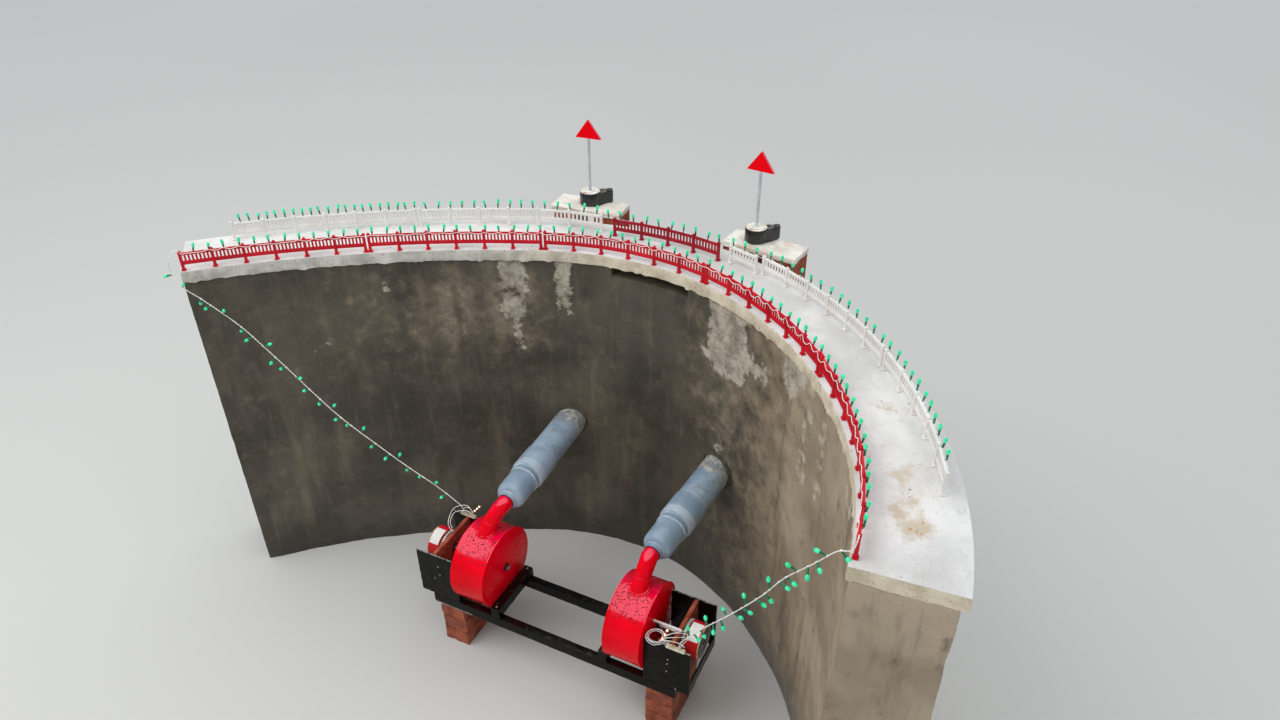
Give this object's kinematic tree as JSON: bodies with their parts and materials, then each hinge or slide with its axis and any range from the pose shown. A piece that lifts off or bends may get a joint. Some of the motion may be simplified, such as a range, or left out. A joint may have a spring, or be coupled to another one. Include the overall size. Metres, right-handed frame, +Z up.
{
  "type": "miniature micro hydro plant",
  "caption": "Small arch dam with a fenced crest road, intake towers, penstocks and a pair of turbine generators on a steel frame.",
  "frame": {"origin": "a point on the underside of the dam wall, on the middle line of the turbine frame", "axes": "+X to the right as seen from below the dam, along the turbine axles, +Y upstream, +Z up"},
  "size_m": [2.623, 1.3603, 1.589],
  "materials": {
    "render": "rough wet cement render",
    "cement": "dry trowelled cement",
    "brick": "fired clay brick",
    "red_plastic": "moulded",
    "dark_red_plastic": "moulded",
    "white_plastic": "moulded",
    "green_bulbs": "clear green lamps",
    "red_paint": "wet gloss enamel",
    "sign_paint": "gloss enamel",
    "black_paint": "wet gloss paint",
    "pvc": "grey pipe",
    "steel": "bright bar",
    "rusty_steel": "red oxide primer",
    "cream_plastic": "terminal block",
    "wire": "white insulation"
  },
  "bodies": {
    "plant": {"dam_wall_1": "render", "dam_wall_2": "render", "dam_wall_3": "render", "dam_wall_4": "render", "dam_wall_5": "render", "dam_wall_6": "render", "dam_wall_7": "render", "crest_deck_1": "cement", "crest_deck_2": "cement", "crest_deck_3": "cement", "crest_deck_4": "cement", "fence_red_1": "red_plastic", "fence_red_2": "red_plastic", "fence_red_3": "red_plastic", "fence_red_4": "red_plastic", "fence_red_5": "red_plastic", "fence_dark_red": "dark_red_plastic", "fence_white_1": "white_plastic", "fence_white_2": "white_plastic", "fence_white_3": "white_plastic", "fence_white_4": "white_plastic", "fence_white_5": "white_plastic", "light_string_downstream": "green_bulbs", "light_string_upstream": "green_bulbs", "tower_slab_left": "cement", "tower_pier_left_a": "brick", "tower_pier_left_b": "brick", "gate_motor_left": "black_paint", "level_sign_left": "sign_paint", "penstock_left": "pvc", "turbine_casing_left": "red_paint", "turbine_inlet_left": "red_paint", "generator_left": "red_paint", "generator_bracket_left": "rusty_steel", "cross_beam_left": "black_paint", "side_plate_front_left": "black_paint", "side_plate_back_left": "black_paint", "terminal_strip_left": "cream_plastic", "brick_stack_left": "brick", "light_span_left": "wire", "tower_slab_right": "cement", "tower_pier_right_a": "brick", "tower_pier_right_b": "brick", "gate_motor_right": "black_paint", "level_sign_right": "sign_paint", "penstock_right": "pvc", "turbine_casing_right": "red_paint", "turbine_inlet_right": "red_paint", "generator_right": "red_paint", "generator_bracket_right": "rusty_steel", "cross_beam_right": "black_paint", "side_plate_front_right": "black_paint", "side_plate_back_right": "black_paint", "terminal_strip_right": "cream_plastic", "brick_stack_right": "brick", "light_span_right": "wire", "frame_rail_front": "black_paint", "frame_rail_back": "black_paint"},
    "runner_left": {"turbine_runner_left": "steel"},
    "runner_right": {"turbine_runner_right": "steel"}
  },
  "joints": [
    {"name": "turbine_left", "type": "hinge", "parent": "plant", "child": "runner_left", "pos_m": [-0.28, -0.693, 0.35], "axis": [1, 0, 0], "continuous": true},
    {"name": "turbine_right", "type": "hinge", "parent": "plant", "child": "runner_right", "pos_m": [0.28, -0.693, 0.35], "axis": [1, 0, 0], "continuous": true}
  ]
}
